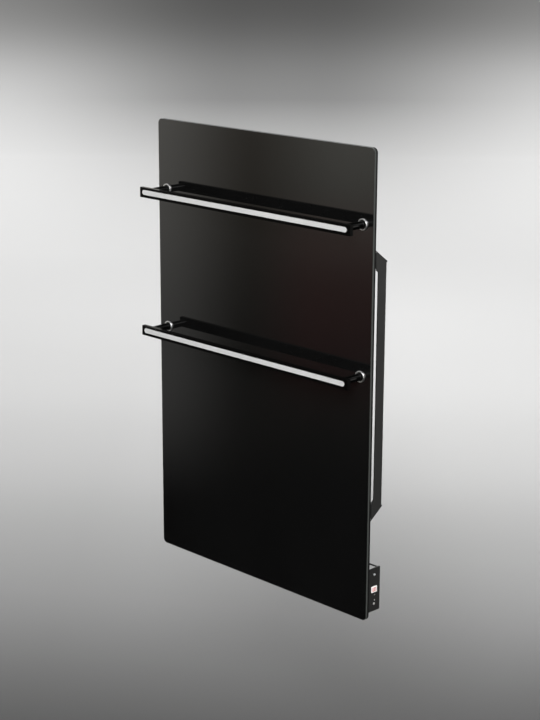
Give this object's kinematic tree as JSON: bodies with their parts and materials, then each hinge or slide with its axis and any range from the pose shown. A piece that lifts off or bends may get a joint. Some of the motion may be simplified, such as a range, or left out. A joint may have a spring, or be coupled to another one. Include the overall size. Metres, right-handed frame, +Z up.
{
  "type": "infrared glass towel heater",
  "caption": "Flat wall-hung infrared heater of dark laminated glass with towel bars on round arms, folded side brackets with keyholes and a control housing with a rocker switch.",
  "frame": {"origin": "centre of the four keyholes of the wall brackets, on the wall plane", "axes": "+Z up, +Y into the wall, so the glass front faces -Y and the switch is on the +X side"},
  "size_m": [0.6023, 0.0993, 0.93],
  "materials": {
    "black_glass": "polished float glass, back-coated black",
    "rear_glass": "polished black glass",
    "sealant": "cured black silicone",
    "heating_film": "carbon-printed film",
    "copper": "bare copper foil",
    "lead_insulation": "pale silicone insulation",
    "black_bar": "semi-gloss black coating",
    "inlay": "bright satin aluminium",
    "chrome": "polished chrome",
    "zinc_steel": "bright zinc plate",
    "black_sheet": "fine-textured black powder coat",
    "nylon": "natural moulded nylon",
    "switch_white": "moulded white plastic",
    "switch_red": "moulded pale red plastic",
    "brass": "bare brass",
    "black_screw": "blackened steel"
  },
  "bodies": {
    "heater": {"front_glass": "black_glass", "rear_glass": "rear_glass", "edge_seal": "sealant", "heating_film": "heating_film", "copper_busbars": "copper", "lead_plugs": "sealant", "film_leads": "lead_insulation", "upper_rail_bar": "black_bar", "lower_rail_bar": "black_bar", "upper_inlay": "inlay", "lower_inlay": "inlay", "rail_screws": "zinc_steel", "arm_upper_left": "black_bar", "arm_upper_right": "black_bar", "arm_lower_left": "black_bar", "arm_lower_right": "black_bar", "ring_upper_left": "chrome", "ring_upper_right": "chrome", "ring_lower_left": "chrome", "ring_lower_right": "chrome", "front_gaskets": "sealant", "glass_bushes": "nylon", "rear_gaskets": "sealant", "rear_washers": "zinc_steel", "arm_bolts": "zinc_steel", "bracket_left": "black_sheet", "bracket_right": "black_sheet", "bracket_pads": "sealant", "control_housing": "black_sheet", "housing_pads": "sealant", "end_plate": "black_sheet", "end_plate_screws": "zinc_steel", "tie_bar": "black_sheet", "rear_cover": "black_sheet", "rear_cover_screws": "zinc_steel", "cable_grommet": "sealant", "switch_body": "switch_white", "switch_tabs": "brass", "switch_leads": "lead_insulation", "terminal_block": "nylon", "terminal_screws": "zinc_steel", "block_screws": "black_screw", "thermal_limiter": "nylon"},
    "rocker": {"switch_rocker": "switch_red"}
  },
  "joints": [
    {"name": "rocker_tilt", "type": "hinge", "parent": "heater", "child": "rocker", "pos_m": [0.298, -0.0185, -0.40885], "axis": [0, 0, 1], "range_deg": [-20, 0]}
  ]
}
